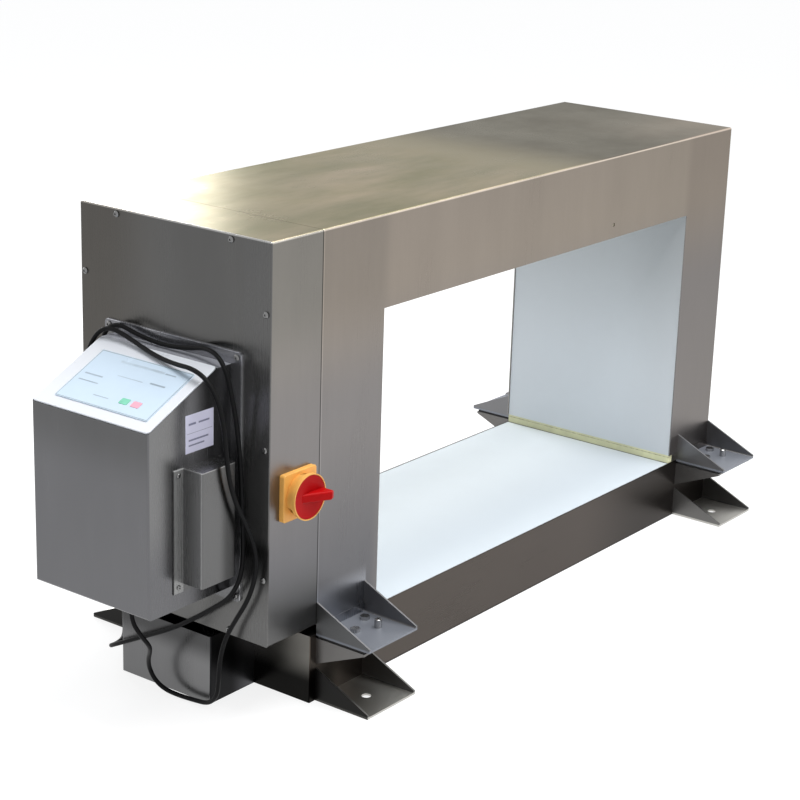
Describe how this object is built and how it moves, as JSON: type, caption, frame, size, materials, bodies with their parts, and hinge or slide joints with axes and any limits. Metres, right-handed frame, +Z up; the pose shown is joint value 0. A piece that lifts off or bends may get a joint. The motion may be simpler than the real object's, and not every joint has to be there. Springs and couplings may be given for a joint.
{
  "type": "conveyor metal detector",
  "caption": "Split-head conveyor metal detector: square tunnel, side electronics housing, sloping operator box, rotary isolator, corner brackets and mains lead.",
  "frame": {"origin": "middle of the anchor hole pattern, at floor level under the middle of the tunnel", "axes": "+X across the belt, away from the electronics housing; +Y along the belt, away from the isolator's side; +Z up"},
  "size_m": [1.375, 0.542, 0.688],
  "materials": {
    "case_steel": "stainless sheet with a fine ground grain, folded and welded",
    "housing_steel": "stainless sheet with a fine upright ground grain",
    "panel_steel": "stainless sheet, bright rolled",
    "plate_steel": "stainless plate, ground",
    "box_steel": "stainless sheet, fine ground, folded edges",
    "bracket_steel": "stainless plate, folded and welded, dull ground",
    "fastener_steel": "stainless, turned",
    "liner_white": "white polypropylene sheet, satin",
    "seal_foam": "yellow-green cellular foam strip",
    "pad_rubber": "black moulded rubber",
    "core_foam": "glass-filled resin and rigid foam, matte",
    "coil_copper": "enamelled copper winding",
    "panel_white": "white powder coat, satin",
    "film_blue": "pale blue printed polyester film",
    "key_green_plastic": "green embossed key",
    "key_red_plastic": "pink-red embossed key",
    "board_green": "green circuit board with components",
    "display_black": "dark display module",
    "supply_aluminium": "extruded case with fins",
    "terminal_grey": "grey terminal clamps on a rail",
    "isolator_yellow": "yellow moulded plastic, satin gloss",
    "isolator_red": "red moulded plastic, satin gloss",
    "isolator_black": "black moulded switch body",
    "gland_black": "black moulded nylon",
    "lead_rubber": "black rubber, smooth sheath",
    "tie_black": "black hook-and-loop tie"
  },
  "bodies": {
    "machine": {"base_bottom_plate": "case_steel", "base_liner": "liner_white", "base_shell": "case_steel", "beam_coil_former": "core_foam", "bracket_pads": "pad_rubber", "cable_box": "case_steel", "case_screws": "fastener_steel", "clamp_screws": "fastener_steel", "column_cores": "core_foam", "control_board": "board_green", "control_box": "box_steel", "control_plate": "plate_steel", "cover_screws": "fastener_steel", "display_film": "film_blue", "display_module": "display_black", "end_panel": "panel_steel", "foot_bracket_front_left": "bracket_steel", "foot_bracket_front_right": "bracket_steel", "foot_bracket_rear_left": "bracket_steel", "foot_bracket_rear_right": "bracket_steel", "frame_bolts": "fastener_steel", "grommets": "pad_rubber", "head_liner_left": "liner_white", "head_liner_right": "liner_white", "head_liner_top": "liner_white", "head_shell": "case_steel", "housing_wrapper": "housing_steel", "isolator_body": "isolator_black", "isolator_plate": "isolator_yellow", "jack_studs": "fastener_steel", "keypad_board": "board_green", "lead_tie": "tie_black", "mains_gland": "gland_black", "mains_lead": "lead_rubber", "mains_lead_coil": "lead_rubber", "mains_lead_relief": "lead_rubber", "mains_lead_tail": "lead_rubber", "mains_plug": "lead_rubber", "middle_bracket_front_left": "bracket_steel", "middle_bracket_front_right": "bracket_steel", "middle_bracket_rear_left": "bracket_steel", "middle_bracket_rear_right": "bracket_steel", "mounting_plate": "plate_steel", "operator_panel": "panel_white", "power_supply": "supply_aluminium", "receive_coils": "coil_copper", "receiver_board": "board_green", "side_cover": "box_steel", "split_seals": "seal_foam", "terminal_block": "terminal_grey", "transmit_coil": "coil_copper", "transmit_coil_former": "core_foam", "upper_bracket_front_left": "bracket_steel", "upper_bracket_front_right": "bracket_steel", "upper_bracket_rear_left": "bracket_steel", "upper_bracket_rear_right": "bracket_steel"},
    "isolator_handle": {"isolator_knob": "isolator_red", "isolator_shaft": "fastener_steel"},
    "green_key": {"key_green": "key_green_plastic"},
    "red_key": {"key_red": "key_red_plastic"}
  },
  "joints": [
    {"name": "isolator_turn", "type": "hinge", "parent": "machine", "child": "isolator_handle", "pos_m": [-0.6045, -0.2, 0.3295], "axis": [0, 1, 0], "range_deg": [0, 90]},
    {"name": "green_key_press", "type": "slide", "parent": "machine", "child": "green_key", "axis": [0.4251, 0, -0.9051], "range_m": [0, 0.0005], "stiffness_N_per_m": 400, "springref_m": -0.0005},
    {"name": "red_key_press", "type": "slide", "parent": "machine", "child": "red_key", "axis": [0.4251, 0, -0.9051], "range_m": [0, 0.0005], "stiffness_N_per_m": 400, "springref_m": -0.0005}
  ]
}
